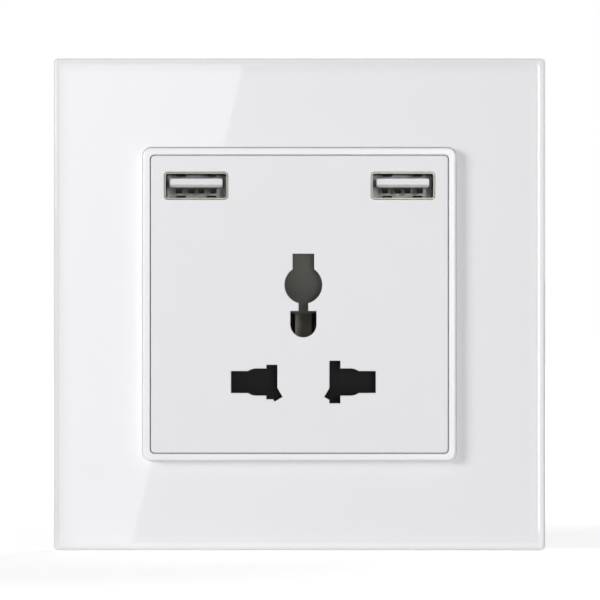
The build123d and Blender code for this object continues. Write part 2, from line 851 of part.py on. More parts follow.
def usb_tongue(side):
    """The moulded insulator: a block at the rear of the shell and the tongue that carries the contacts."""
    x = side * port_x
    rear_width = shell_width - 2 * shell_sheet - 2 * port_gap
    rear_height = shell_height - 2 * shell_sheet - 2 * port_gap
    corner = shell_corner - shell_sheet - port_gap
    rear_outline = RectangleRounded(rear_width, rear_height, corner)
    rear = slab(Pos(x, port_z) * rear_outline, board_front, tongue_root)
    front = shell_front - tongue_recess
    low, high = port_z + tongue_low, port_z + tongue_high
    profile = Polygon(
        (-tongue_root, low),
        (-(front - tongue_chamfer), low),
        (-front, low + tongue_chamfer),
        (-front, high),
        (-tongue_root, high),
        align=None,
    )
    tongue = across(profile, x - tongue_width / 2, x + tongue_width / 2)
    tongue_outline = RectangleRounded(tongue_width, high - low, tongue_corner)
    tongue = tongue & slab(Pos(x, (low + high) / 2) * tongue_outline, tongue_root, front)
    body = rear + tongue
    for strip in usb_contacts(side).solids():
        body = body - strip
    return body


def charger_board():
    """The circuit board behind the ports, on two standoffs."""
    outline = box_outline(-board_width / 2, board_width / 2, board_low, board_high)
    for side in (-1, 1):
        outline = outline - Pos(side * standoff_x, standoff_z) * Circle(board_screw_radius + screw_gap)
    return slab(outline, board_back, board_front)


def board_screws():
    """Two screws that hold the board to the standoffs."""
    screws = []
    tip = board_front + board_screw_bite
    head_back = board_back - board_head_height
    for side in (-1, 1):
        x = side * standoff_x
        shank = rear_pin(x, standoff_z, board_screw_radius, board_back, tip)
        head = rear_pin(x, standoff_z, board_head_radius, head_back, board_back)
        screws.append(shank + head)
    return Compound(children=screws)


def winding_window():
    """Front and rear of the space that the transformer's winding fills."""
    return board_back - core_depth + yoke_leg, board_back - yoke_leg


def transformer_core():
    """A ferrite core of two E halves: a middle leg, two side legs and the yokes that close them."""
    half = core_width / 2
    low, high = core_z - core_thickness / 2, core_z + core_thickness / 2
    core = slab(box_outline(-half, half, low, high), board_back - core_depth, board_back)
    back, front = winding_window()
    for side in (-1, 1):
        left, right = sorted((side * leg_half, side * (half - side_leg)))
        core = core - slab(box_outline(left, right, low, high), back, front)
    return core


def transformer_winding():
    """The taped winding round the core's middle leg."""
    half = core_width / 2 - side_leg - winding_gap
    reach = core_thickness / 2 + winding_over
    outside = Pos(0, core_z) * RectangleRounded(2 * half, 2 * reach, winding_over)
    hole_width = 2 * (leg_half + winding_gap)
    hole = Pos(0, core_z) * Rectangle(hole_width, core_thickness + 2 * winding_gap)
    back, front = winding_window()
    return slab(outside - hole, back + winding_gap, front - winding_gap)


def can(x, z, radius, length):
    """A capacitor can standing on the board's rear face, with a rounded end."""
    body = rear_pin(x, z, radius, board_back - length, board_back)
    return fillet(body.faces().sort_by(Axis.Y)[-1].edges(), cap_edge)


def choke():
    """A small drum choke on the board's rear face."""
    return rear_pin(choke_x, board_middle, choke_radius, board_back - choke_length, board_back)


def chip(x, z, width, height, thickness):
    """A moulded chip on the board's front face."""
    outline = Pos(x, z) * Rectangle(width, height)
    return slab(outline, board_front, board_front + thickness)


def fuse_resistor():
    """The fusible resistor lying upright on the board's rear face."""
    body = Pos(fuse_x, -(board_back - fuse_radius)) * Circle(fuse_radius)
    return upright(body, fuse_z - fuse_length / 2, fuse_z + fuse_length / 2)


def lead(side):
    """An insulated wire from the board's rear face down to a contact's web."""
    x = pattern_x + side * lead_offset
    path = FilletPolyline(
        at_height(x, lead_board_z, board_back),
        at_height(x, lead_board_z, lead_depth),
        at_height(x, lead_contact_z, lead_depth),
        at_height(x, lead_contact_z, web_back_face),
        radius=lead_bend,
    )
    section = Plane(origin=path @ 0, z_dir=path % 0) * Circle(lead_radius)
    return sweep(section, path=path)


def build_parts():
    """Every piece by its name."""
    neutral, earth, live = terminal_places()
    parts = {
        "glass_panel": glass_panel(),
        "panel_carrier": panel_carrier(),
        "face_plate": face_plate(),
        "inner_cover": inner_cover(),
        "socket_housing": socket_housing(),
        "rear_cover": rear_cover(),
        "case_screws": case_screws(),
        "mounting_yoke": mounting_yoke(),
        "yoke_screws": yoke_screws(),
        "trim_clips": trim_clips(),
        "safety_shutter": safety_shutter(),
        "earth_ramp": earth_ramp(),
        "shutter_spring_left": shutter_spring(-1),
        "shutter_spring_right": shutter_spring(1),
        "neutral_contact": pin_contact(-1),
        "live_contact": pin_contact(1),
        "earth_contact": earth_contact(),
        "charger_board": charger_board(),
        "board_screws": board_screws(),
        "transformer_core": transformer_core(),
        "transformer_winding": transformer_winding(),
        "input_capacitor": can(input_cap_x, board_middle, input_cap_radius, input_cap_length),
        "output_capacitor": can(output_cap_x, board_middle, output_cap_radius, output_cap_length),
        "choke": choke(),
        "controller_chip": chip(0, board_middle, chip_width, chip_height, chip_thickness),
        "rectifier": chip(
            rectifier_x, rectifier_z, rectifier_width, rectifier_height, rectifier_thickness
        ),
        "fuse_resistor": fuse_resistor(),
        "neutral_lead": lead(-1),
        "live_lead": lead(1),
    }
    for name, place in (("neutral", neutral), ("earth", earth), ("live", live)):
        parts[name + "_terminal"] = terminal_block(*place)
        parts[name + "_clamp_screw"] = clamp_screw(*place)
        parts[name + "_clamp_pad"] = clamp_pad(*place)
    for name, side in (("left", -1), ("right", 1)):
        parts["usb_shell_" + name] = usb_shell(side)
        parts["usb_tongue_" + name] = usb_tongue(side)
        parts["usb_contacts_" + name] = usb_contacts(side)
    return parts


os.makedirs("parts", exist_ok=True)
for part_name, shape in build_parts().items():
    export_step(shape, "parts/" + part_name + ".step")
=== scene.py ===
# %% [markdown]
# # A wall socket with a glass front
#
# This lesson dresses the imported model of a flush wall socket: a square of white glass, a raised
# face plate with three pin holes, and two USB ports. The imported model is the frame. Its solids stay
# where they are and get better materials. A few of them are replaced by finer surfaces that numpy
# works out: the glass, the screws, the springs and the thin sheet-metal parts.
#
# Blender works in metres, and the formulas here in millimetres. X runs right, Z up, and Y into the
# wall, so the front looks along -Y. A height is measured over the wall, towards the room.

import math

import bmesh
import bpy
import numpy as np
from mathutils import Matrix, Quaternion, Vector


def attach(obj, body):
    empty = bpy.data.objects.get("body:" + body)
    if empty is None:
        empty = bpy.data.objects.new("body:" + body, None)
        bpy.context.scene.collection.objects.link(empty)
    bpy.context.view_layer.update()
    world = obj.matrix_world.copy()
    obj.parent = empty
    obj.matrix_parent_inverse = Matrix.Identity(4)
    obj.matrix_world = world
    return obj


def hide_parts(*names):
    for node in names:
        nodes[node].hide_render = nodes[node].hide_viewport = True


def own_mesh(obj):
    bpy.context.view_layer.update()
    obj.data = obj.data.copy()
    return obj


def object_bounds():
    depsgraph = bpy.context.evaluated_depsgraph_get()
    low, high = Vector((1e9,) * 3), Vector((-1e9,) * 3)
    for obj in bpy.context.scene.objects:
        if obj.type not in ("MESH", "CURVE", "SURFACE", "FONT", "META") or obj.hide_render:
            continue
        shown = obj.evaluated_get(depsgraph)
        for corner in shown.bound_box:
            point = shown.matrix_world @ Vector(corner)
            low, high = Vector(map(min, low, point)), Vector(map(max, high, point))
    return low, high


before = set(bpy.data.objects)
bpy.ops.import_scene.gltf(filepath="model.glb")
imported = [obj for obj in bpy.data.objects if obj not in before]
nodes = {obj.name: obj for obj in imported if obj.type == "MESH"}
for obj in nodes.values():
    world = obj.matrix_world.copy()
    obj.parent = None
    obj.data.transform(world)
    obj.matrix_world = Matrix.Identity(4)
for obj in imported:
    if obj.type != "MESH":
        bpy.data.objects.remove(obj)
cad_low, cad_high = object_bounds()
print("nodes:", len(nodes), "size in mm:", [round(1000 * side, 1) for side in cad_high - cad_low])

# %% [markdown]
# ## From a grid of points to a mesh
#
# Every new piece is a grid: rows of points across it, columns along it. A grid that joins its last
# row to its first is a ring, and one that joins both ways is a closed tube bent into a ring. Where a
# row shrinks to a single point, its points are merged, so that the surface has no hole there.

# %% Grid helpers
MM = 0.001


def grid_faces(rows, columns, rows_join, columns_join):
    """Quads between neighbouring points of a grid whose points are numbered row by row."""
    row = np.arange(rows if rows_join else rows - 1)
    column = np.arange(columns if columns_join else columns - 1)
    row, column = np.meshgrid(row, column, indexing="ij")
    next_row = (row + 1) % rows
    next_column = (column + 1) % columns
    corners = (
        row * columns + column,
        row * columns + next_column,
        next_row * columns + next_column,
        next_row * columns + column,
    )
    return np.stack(corners, axis=-1).reshape(-1, 4)


def merge_and_turn_outwards(mesh):
    """Merges points that coincide, drops the faces that this leaves flat, and points all faces out."""
    work = bmesh.new()
    work.from_mesh(mesh)
    bmesh.ops.remove_doubles(work, verts=work.verts, dist=1e-7)
    bmesh.ops.dissolve_degenerate(work, edges=work.edges, dist=1e-8)
    bmesh.ops.recalc_face_normals(work, faces=work.faces)
    work.to_mesh(mesh)
    work.free()


def make_piece(name, grids, sharp_degrees):
    """One mesh object from several (points, faces) pairs in millimetres, merged and turned outwards."""
    points = np.concatenate([grid[0].reshape(-1, 3) for grid in grids]) * MM
    counts = np.cumsum([0] + [grid[0].reshape(-1, 3).shape[0] for grid in grids])
    faces = np.concatenate([grid[1] + start for grid, start in zip(grids, counts)])
    mesh = bpy.data.meshes.new(name)
    mesh.from_pydata(points.tolist(), [], faces.tolist())
    piece = bpy.data.objects.new(name, mesh)
    bpy.context.scene.collection.objects.link(piece)
    merge_and_turn_outwards(mesh)
    mesh.polygons.foreach_set("use_smooth", np.ones(len(mesh.polygons), bool))
    mesh.set_sharp_from_angle(angle=math.radians(sharp_degrees))
    print(name, "faces:", len(mesh.polygons))
    return piece


def stand_in(piece, body, slot, *replaced):
    """The piece moves with a body and is shown instead of the replaced nodes. The slot is not used."""
    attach(piece, body)
    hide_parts(*replaced)
    return piece


# %% [markdown]
# ## The glass panel
#
# The real panel is a 4 mm sheet of toughened glass with a square cut-out. Its front falls away in a
# shallow polished bevel that has no hard inner line, and ends in a narrow ground arris. The thin bright
# and dark lines round it are mostly painted highlights and painted shade in the glass's colour, helped
# by the arris's own reflections. A box with a bevel modifier would give one width of arris
# everywhere. Here a closed profile is carried round a rounded square, so each edge has its own. The
# glass is glued on a little high, so the gap between it and the ring shows most at the top.

# %% Glass panel surface
PANEL_HALF = 50.0
PANEL_CORNER = 0.8
BEVEL_HALF = 49.0
ARRIS_HALF = 49.65
GLASS_BACK = 5.0
GLASS_FRONT = 9.0
BEVEL_START = 8.8
ARRIS_START = 8.5
CUT_HALF = 31.88
CUT_CORNER = 1.78
CUT_RISE = 0.06
PROFILE_STEPS = 8
CORNER_STEPS = 10


def rounded_profile(corners, reach, steps, closed):
    """Rounds a profile's corners. With S and E on the two sides of a corner B, reach away from it, the
    corner becomes (1-u)^2 S + 2u(1-u) B + u^2 E. The first column and the last one measure distance."""
    corners = np.asarray(corners, float)
    reach = np.asarray(reach, float)[:, None]
    u = np.linspace(0, 1, steps)[None, :, None]
    to_last = np.roll(corners, 1, axis=0) - corners
    to_next = np.roll(corners, -1, axis=0) - corners
    start = corners + to_last * reach / np.hypot(to_last[:, 0], to_last[:, -1])[:, None]
    end = corners + to_next * reach / np.hypot(to_next[:, 0], to_next[:, -1])[:, None]
    curve = (1 - u) ** 2 * start[:, None] + 2 * u * (1 - u) * corners[:, None] + u**2 * end[:, None]
    if closed:
        return curve.reshape(-1, corners.shape[1])
    inside = curve[1:-1].reshape(-1, corners.shape[1])
    return np.concatenate([corners[:1], inside, corners[-1:]])


def carried_round_square(profile, corner_steps):
    """Carries (half width, corner radius, rise, height) rows round a square that is moved up by the rise:
    in each corner the point is the corner circle's centre, half width minus radius out on both axes,
    plus radius times (cos, sin)."""
    quarter = np.linspace(0, math.pi / 2, corner_steps)
    turn = (np.arange(4)[:, None] * math.pi / 2 + quarter).ravel()
    middle = np.repeat(np.arange(4) * math.pi / 2 + math.pi / 4, corner_steps)
    sign_x, sign_z = np.sign(np.cos(middle)), np.sign(np.sin(middle))
    half, radius, rise, height = (profile[:, column][:, None] for column in range(4))
    x = sign_x * (half - radius) + radius * np.cos(turn)
    z = rise + sign_z * (half - radius) + radius * np.sin(turn)
    points = np.stack([x, np.broadcast_to(-height, x.shape), z], axis=-1)
    return points, grid_faces(*x.shape, rows_join=True, columns_join=True)


glass_corners = (
    (PANEL_HALF, PANEL_CORNER, 0.0, GLASS_BACK),
    (PANEL_HALF, PANEL_CORNER, 0.0, ARRIS_START),
    (ARRIS_HALF, PANEL_CORNER, 0.0, BEVEL_START),
    (BEVEL_HALF, PANEL_CORNER, 0.0, GLASS_FRONT),
    (CUT_HALF, CUT_CORNER, CUT_RISE, GLASS_FRONT),
    (CUT_HALF, CUT_CORNER, CUT_RISE, GLASS_BACK),
)
# How far from each corner of the profile its rounding starts.
glass_rounding = (0.2, 0.12, 0.1, 0.45, 0.15, 0.2)
glass_profile = rounded_profile(glass_corners, glass_rounding, PROFILE_STEPS, closed=True)
glass_surface = carried_round_square(glass_profile, CORNER_STEPS)
glass = make_piece("glass_panel_polished", [glass_surface], sharp_degrees=40)
# The large faces set the normals, so that the flat glass mirrors flatly right up to its arris.
flat_faces = glass.modifiers.new("flat_faces", "WEIGHTED_NORMAL")
flat_faces.weight = 100
flat_faces.keep_sharp = True
stand_in(glass, "trim", "back_painted_glass", "glass_panel")

# %% [markdown]
# ## Screws
#
# The back of the socket shows three clamp screws and four long case screws with pan heads, and the
# yoke has four countersunk ones. A Boolean modifier could cut the cross recess, but it leaves long
# thin triangles round it. Here a screw is a profile turned about its axis, with two things laid over
# it: the thread, which moves the radius in and out along a helix, and the recess, which pushes the
# head's face in. Both are functions of the same grid, so the screw stays one surface.

# %% Screw surface
SCREW_COLUMNS = 96
HEAD_ROWS = 26
ROWS_PER_TURN = 6
RIM_SHARE = 0.12
THREAD_SHARE = 0.2
RECESS_WIDTH = 0.8
RECESS_LENGTH = 3.6
RECESS_DEPTH = 1.0
RECESS_EDGE = 0.14
RECESS_TAPER = 0.5


def recess(x, z):
    """The depth of a cross recess: two crossed bars. Along a bar the depth falls with the square of the
    distance from its middle, and over its edges it falls to nought in a straight line."""

    def inside(distance):
        return np.clip(distance / RECESS_EDGE + 0.5, 0, 1)

    def bar(along, over):
        taper = 1 - RECESS_TAPER * (2 * along / RECESS_LENGTH) ** 2
        return taper * inside(RECESS_LENGTH / 2 - abs(along)) * inside(RECESS_WIDTH / 2 - abs(over))

    return RECESS_DEPTH * np.maximum(bar(x, z), bar(z, x))


def thread(turn, depth_along, length, pitch, thread_depth):
    """How far the thread cuts in: a triangle wave along the helix, faded over a pitch at both ends."""
    phase = np.mod(depth_along / pitch + turn / (2 * math.pi), 1)
    fade = np.clip(np.minimum(depth_along, length - depth_along) / pitch, 0, 1)
    return thread_depth * fade * abs(2 * phase - 1)


def screw_head(turn, head, shank_radius, crown, cone):
    """Radius and depth of the head's rows, from the middle of its face to the shank. The face lies
    deeper by crown times the square of the share of its radius, and by the recess."""
    head_radius, head_length = head
    face = np.linspace(0, 1, HEAD_ROWS)[:, None]
    rim = 0.0 if cone else RIM_SHARE * head_length
    face_radius = face * (head_radius - rim) + 0 * turn
    face_depth = crown * face**2 + recess(face_radius * np.cos(turn), face_radius * np.sin(turn))
    side_radius = [head_radius, shank_radius] if cone else [head_radius, head_radius, shank_radius]
    side_depth = [crown, head_length] if cone else [crown + rim, head_length, head_length]
    radius = np.concatenate([face_radius, np.array(side_radius)[:, None] + 0 * turn])
    depth = np.concatenate([face_depth, np.array(side_depth)[:, None] + 0 * turn])
    return radius, depth


def screw_shank(turn, head_length, shank, pitch):
    """Radius and depth of the shank's rows: a plain or threaded cylinder that closes at its tip."""
    shank_radius, shank_length = shank
    turns = shank_length / pitch if pitch else 1
    along = np.linspace(0, shank_length, int(turns * ROWS_PER_TURN) + 1)[:, None]
    cut = thread(turn, along, shank_length, pitch, THREAD_SHARE * shank_radius) if pitch else 0 * turn
    radius = np.concatenate([shank_radius - cut + 0 * along, np.zeros((1, SCREW_COLUMNS))])
    tip = np.full((1, SCREW_COLUMNS), head_length + shank_length)
    depth = np.concatenate([head_length + along + 0 * turn, tip])
    return radius, depth


def screw(x, z, back, head, shank, crown, cone=False, pitch=None):
    """A screw along Y with its head to the rear: radius times (cos, sin) of the turn about its axis. head
    and shank are (radius, length), and cone is true for a countersunk head."""
    turn = np.linspace(0, 2 * math.pi, SCREW_COLUMNS, endpoint=False)[None, :]
    head_radius, head_depth = screw_head(turn, head, shank[0], crown, cone)
    shank_radius, shank_depth = screw_shank(turn, head[1], shank, pitch)
    radius = np.concatenate([head_radius, shank_radius])
    depth = np.concatenate([head_depth, shank_depth])
    points = np.stack([x + radius * np.cos(turn), back - depth, z + radius * np.sin(turn)], axis=-1)
    return points, grid_faces(*radius.shape, rows_join=False, columns_join=True)


def four_places(x, z):
    """Four places that mirror each other about the panel's middle."""
    return [(way_x * x, way_z * z) for way_x in (-1, 1) for way_z in (-1, 1)]


# %% Clamp screws
CLAMP_BACK = 25.0
CLAMP_PLACES = {"neutral": (-17.4, -21.7), "earth": (0.8, 1.0), "live": (19.0, -21.7)}
clamp_screws = []
for wire, (wire_x, wire_z) in CLAMP_PLACES.items():
    surface = screw(
        wire_x, wire_z, CLAMP_BACK, head=(2.8, 1.8), shank=(1.5, 4.7), crown=0.3, pitch=0.5
    )
    clamp = make_piece(wire + "_clamp_screw_threaded", [surface], sharp_degrees=30)
    stand_in(clamp, wire + "_screw", "zinc_plated_steel", wire + "_clamp_screw")
    clamp_screws.append(clamp)

# %% Case screws and yoke screws
CASE_SCREW_BACK = 23.6
CASE_SCREW_X, CASE_SCREW_Z = 25.4, 9.8
YOKE_SCREW_X, YOKE_SCREW_Z = 31.5, 20.0
case_surfaces = [
    screw(x, z, CASE_SCREW_BACK, head=(2.3, 1.6), shank=(1.2, 30.5), crown=0.3)
    for x, z in four_places(CASE_SCREW_X, CASE_SCREW_Z)
]
case_screws = make_piece("case_screws_pan_head", case_surfaces, sharp_degrees=30)
stand_in(case_screws, "base", "zinc_plated_steel", "case_screws")

yoke_surfaces = [
    screw(x, z, 0.0, head=(2.3, 1.2), shank=(1.25, 1.8), crown=0.0, cone=True)
    for x, z in four_places(YOKE_SCREW_X, YOKE_SCREW_Z)
]
yoke_screws = make_piece("yoke_screws_countersunk", yoke_surfaces, sharp_degrees=30)
stand_in(yoke_screws, "base", "zinc_plated_steel", "yoke_screws")

# %% [markdown]
# ## Shutter springs
#
# Two compression springs hold the safety shutter down. Drawn wire is round, and the end turns of
# such a spring lie flat against each other. A Screw modifier would space all turns evenly, so here
# the path is a helix whose climb starts and ends slowly, and a circle is carried along it. The
# springs shorten as the shutter rises.

# %% Spring surface
SPRING_X = (-9.7, 11.3)
SPRING_HEIGHT = 4.5
SPRING_LOW = -10.9
SPRING_LENGTH = 19.6
SPRING_RADIUS = 1.6
SPRING_WIRE = 0.2
SPRING_TURNS = 9
END_TURN_LIE = 0.75
STEPS_PER_TURN = 26
WIRE_COLUMNS = 10


def spring(x):
    """A circle of wire carried along a helix about Z. The climb is s minus a sine ripple, which lays the
    end turns close together; the wire's two directions are outwards and along the axis."""
    s = np.linspace(0, 1, SPRING_TURNS * STEPS_PER_TURN + 1)[:, None]
    around = np.linspace(0, 2 * math.pi, WIRE_COLUMNS, endpoint=False)[None, :]
    turn = 2 * math.pi * SPRING_TURNS * s
    climb = s - END_TURN_LIE * np.sin(2 * math.pi * s) / (2 * math.pi)
    wire = np.full_like(s, SPRING_WIRE)
    wire[[0, -1]] = 0
    out = SPRING_RADIUS + wire * np.cos(around)
    low = SPRING_LOW + SPRING_WIRE
    z = low + (SPRING_LENGTH - 2 * SPRING_WIRE) * climb + wire * np.sin(around)
    points = np.stack([x + out * np.cos(turn), -SPRING_HEIGHT + out * np.sin(turn), z], axis=-1)
    return points, grid_faces(*z.shape, rows_join=False, columns_join=True)


springs = []
for side, spring_x in zip(("left", "right"), SPRING_X):
    coil = make_piece("shutter_spring_" + side + "_coiled", [spring(spring_x)], sharp_degrees=60)
    stand_in(coil, "base", "spring_steel", "shutter_spring_" + side)
    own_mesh(coil)
    springs.append(coil)

# %% [markdown]
# ## Leaves of sheet metal
#
# The clips that hold the trim and the contacts in the USB ports are strips bent from thin sheet. A
# strip is a line in the Y-Z plane with rounded bends, thickened to both sides along its normal and
# given a width in X. Folding a flat plane with bones would give the same, but a profile says plainly
# where each bend is.

# %% Strip surface
BEND_STEPS = 7


def strip(line, reach, thickness, left, right):
    """A bent strip: the line's points moved half the thickness along the normal to both sides, at the
    left and right edge. The end rows close on the strip's middle."""
    path = rounded_profile(line, reach, BEND_STEPS, closed=False)
    tangent = np.gradient(path, axis=0)
    tangent = tangent / np.linalg.norm(tangent, axis=1)[:, None]
    normal = np.stack([-tangent[:, 1], tangent[:, 0]], axis=-1) * thickness / 2
    above, below = path + normal, path - normal
    x = np.array([left, right, right, left])
    loop = np.stack([above, above, below, below], axis=1)
    points = np.concatenate([np.broadcast_to(x[None, :, None], loop.shape[:2] + (1,)), loop], axis=-1)
    first, last = (np.broadcast_to(points[row].mean(axis=0), (1, 4, 3)) for row in (0, -1))
    points = np.concatenate([first, points, last])
    return points, grid_faces(points.shape[0], 4, rows_join=False, columns_join=True)


# %% Trim clips
CLIP_X = 20.0
CLIP_WIDTH = 6.0
CLIP_SHEET = 0.4
CLIP_FOOT = 7.0
CLIP_EDGE = 40.8
CLIP_NOSE = 46.5
CLIP_LEAD = 1.4
CLIP_FOOT_HEIGHT = 1.4
CLIP_NOSE_HEIGHT = 2.1
CLIP_TIP_HEIGHT = 3.1
CLIP_BENDS = (0, 1.2, 0.5, 0)


def clip(way_x, way_z):
    """One leaf: a foot on the yoke, a bend, the nose that stands under the catch, and a lead-in."""
    line = (
        (-CLIP_FOOT_HEIGHT, way_z * (CLIP_EDGE - CLIP_FOOT)),
        (-CLIP_FOOT_HEIGHT, way_z * CLIP_EDGE),
        (-CLIP_NOSE_HEIGHT, way_z * CLIP_NOSE),
        (-CLIP_TIP_HEIGHT, way_z * (CLIP_NOSE - CLIP_LEAD)),
    )
    left = way_x * CLIP_X - CLIP_WIDTH / 2
    return strip(line, CLIP_BENDS, CLIP_SHEET, left, left + CLIP_WIDTH)


clip_surfaces = [clip(*ways) for ways in four_places(1, 1)]
clips = make_piece("trim_clips_bent", clip_surfaces, sharp_degrees=35)
stand_in(clips, "base", "spring_steel", "trim_clips")

# %% USB contacts
PORT_X = 21.0
CONTACT_PLACES = (-3.5, -1.0, 1.0, 3.5)
CONTACT_WIDTH = 1.2
CONTACT_SHEET = 0.2
CONTACT_TOP = 23.65
TAIL_HEIGHT = -2.7
NOSE_ROOT_HEIGHT = 5.5
NOSE_CREST_HEIGHT = 8.5
NOSE_TIP_HEIGHT = 9.7
NOSE_DIP = 1.15
NOSE_TIP_DROP = 0.1
CONTACT_BENDS = (0, 0.8, 0.55, 0)


def usb_contact(x):
    """A straight tail on the tongue, then a nose that hangs below it and turns up at its tip."""
    line = (
        (-TAIL_HEIGHT, CONTACT_TOP),
        (-NOSE_ROOT_HEIGHT, CONTACT_TOP),
        (-NOSE_CREST_HEIGHT, CONTACT_TOP - NOSE_DIP),
        (-NOSE_TIP_HEIGHT, CONTACT_TOP - NOSE_TIP_DROP),
    )
    return strip(line, CONTACT_BENDS, CONTACT_SHEET, x - CONTACT_WIDTH / 2, x + CONTACT_WIDTH / 2)


usb_contacts = []
for side, way in (("left", -1), ("right", 1)):
    surfaces = [usb_contact(way * PORT_X + place) for place in CONTACT_PLACES]
    contacts = make_piece("usb_contacts_" + side + "_bent", surfaces, sharp_degrees=35)
    stand_in(contacts, "base", "gilded_contacts", "usb_contacts_" + side)
    usb_contacts.append(contacts)

# %% [markdown]
# ## Materials
#
# Each finish starts from what the real one is and how its surface was made. Colours are written as
# the hex values one would pick from a picture, and turned to the linear values that the shader
# works in. Patterns read Object coordinates, which are metres here, so a pattern that repeats every
# s millimetres has the scale 1000 / s.

# %% Material helpers
def linear(code):
    """sRGB hex to linear RGBA: c/12.92 below 0.04045, else ((c + 0.055)/1.055) to the power 2.4."""
    parts = [int(code[place : place + 2], 16) / 255 for place in (1, 3, 5)]
    return [c / 12.92 if c <= 0.04045 else ((c + 0.055) / 1.055) ** 2.4 for c in parts] + [1.0]


def per_mm(size):
    """The scale of a texture whose features are this many millimetres across."""
    return 1000.0 / size


def add_node(tree, kind, inputs=(), **settings):
    """Adds a node. Inputs that are sockets are linked, and other inputs are set."""
    node = tree.nodes.new(kind)
    for key, value in settings.items():
        setattr(node, key, value)
    for key, value in dict(inputs).items():
        if isinstance(value, bpy.types.NodeSocket):
            tree.links.new(value, node.inputs[key])
        else:
            node.inputs[key].default_value = value
    return node


def start_material(name, **values):
    """A material with its shader's plain values set, and the Object coordinates that its patterns read."""
    material = bpy.data.materials.new(name)
    material.use_nodes = True
    tree = material.node_tree
    shader = tree.nodes["Principled BSDF"]
    for key, value in values.items():
        shader.inputs[key.replace("_", " ")].default_value = value
    place = add_node(tree, "ShaderNodeTexCoord").outputs["Object"]
    return material, tree, shader, place


def paint(material, *pieces):
    """Gives every piece this one material."""
    for piece in pieces:
        piece.data.materials.clear()
        piece.data.materials.append(material)
    print(material.name, "on", ", ".join(piece.name for piece in pieces))


# %% [markdown]
# ### Back-painted glass
#
# The white is a lacquer on the back of the sheet, seen through clear glass. The eye gets two things:
# an even white that doesn't shade with the bevel's slope, because the lacquer is flat, and a mirror
# on top of it that does follow the slope. Real refraction would need many more light paths to say
# the same, so the lacquer is the shader's base with its normal held flat, and the glass is its coat.
# On the sheet's sides the normal is the surface's own, and the white has the faint green of glass.
# Towards the edges the lacquer's colour carries painted shade and painted highlights: greyer bevels
# at the upper left, whiter ones at the lower right, and thin painted bright and dark lines along the
# arris, which stand in for light led through the sheet.

# %% Lacquer with painted shading towards the panel's edges
CORNER_BLEND = 6.0
CLOUD_SIZE = 40
# Distance from the panel's middle in millimetres, and the painted shade there: the share of the
# lacquer's white shown, with painted highlights and painted grey lines along the bevel and arris.
NEAR_BEVEL_PAINTED_SHADING = (
    (46.4, 0.93),
    (47.2, 0.915),
    (48.0, 0.885),
    (49.35, 0.865),
    (49.5, 0.99),
    (49.62, 0.88),
    (49.85, 0.9),
    (50.0, 0.8),
)
FAR_BEVEL_PAINTED_SHADING = (
    (46.4, 0.93),
    (48.4, 0.95),
    (48.8, 1.0),
    (49.4, 1.0),
    (49.55, 0.9),
    (49.7, 1.0),
    (50.0, 1.0),
)


def painted_shading_towards_edge(tree, out, stops):
    """How much of the lacquer's white is shown at each distance from the panel's middle: painted shade and
    painted highlights.
    """
    first, last = stops[0][0], stops[-1][0]
    share = add_node(
        tree, "ShaderNodeMapRange", {"Value": out, "From Min": first * MM, "From Max": last * MM}
    )
    ramp = add_node(tree, "ShaderNodeValToRGB", {"Fac": share.outputs["Result"]})
    elements = ramp.color_ramp.elements
    while len(elements) < len(stops):
        elements.new(1.0)
    for element, (distance, shade) in zip(elements, stops):
        element.position = (distance - first) / (last - first)
        element.color = (shade, shade, shade, 1.0)
    return ramp.outputs["Color"]


def lacquer_with_painted_edge_light(tree, place):
    """The lacquer's white times painted shading towards the edges, which stands in for light that enters
    the sheet at the upper left and is led through it: the near bevels are painted a little greyer than
    the face and the far ones whiter, with painted bright and dark lines along the arris."""
    axis = add_node(tree, "ShaderNodeSeparateXYZ", {"Vector": place}).outputs
    across = add_node(tree, "ShaderNodeMath", {0: axis["X"]}, operation="ABSOLUTE").outputs[0]
    upright = add_node(tree, "ShaderNodeMath", {0: axis["Z"]}, operation="ABSOLUTE").outputs[0]
    out = add_node(tree, "ShaderNodeMath", {0: across, 1: upright}, operation="MAXIMUM").outputs[0]
    # The far side, away from the key light at the upper left, gets the far bevel's painted shading.
    lean = add_node(tree, "ShaderNodeMath", {0: axis["X"], 1: axis["Z"]}, operation="SUBTRACT").outputs[0]
    far = add_node(
        tree,
        "ShaderNodeMapRange",
        {"Value": lean, "From Min": -CORNER_BLEND * MM, "From Max": CORNER_BLEND * MM},
        interpolation_type="SMOOTHSTEP",
    )
    near_painted_shade = painted_shading_towards_edge(tree, out, NEAR_BEVEL_PAINTED_SHADING)
    far_painted_shade = painted_shading_towards_edge(tree, out, FAR_BEVEL_PAINTED_SHADING)
    # Painted shade and highlights, blended from the near side to the far side.
    shade = add_node(
        tree, "ShaderNodeMix", {0: far.outputs["Result"], 6: near_painted_shade, 7: far_painted_shade}, data_type="RGBA"
    )
    cloud = add_node(
        tree, "ShaderNodeTexNoise", {"Vector": place, "Scale": per_mm(CLOUD_SIZE), "Detail": 2.0}
    )
    white = add_node(
        tree,
        "ShaderNodeMix",
        {0: cloud.outputs["Fac"], 6: linear("#fafafc"), 7: linear("#fdfdff")},
        data_type="RGBA",
    )
    seen = add_node(
        tree,
        "ShaderNodeMix",
        {0: 1.0, 6: white.outputs[2], 7: shade.outputs[2]},
        data_type="RGBA",
        blend_type="MULTIPLY",
    )
    return seen.outputs[2]


# %% Back-painted glass
FRONT_FACING = -0.75
SIDE_FACING = -0.5


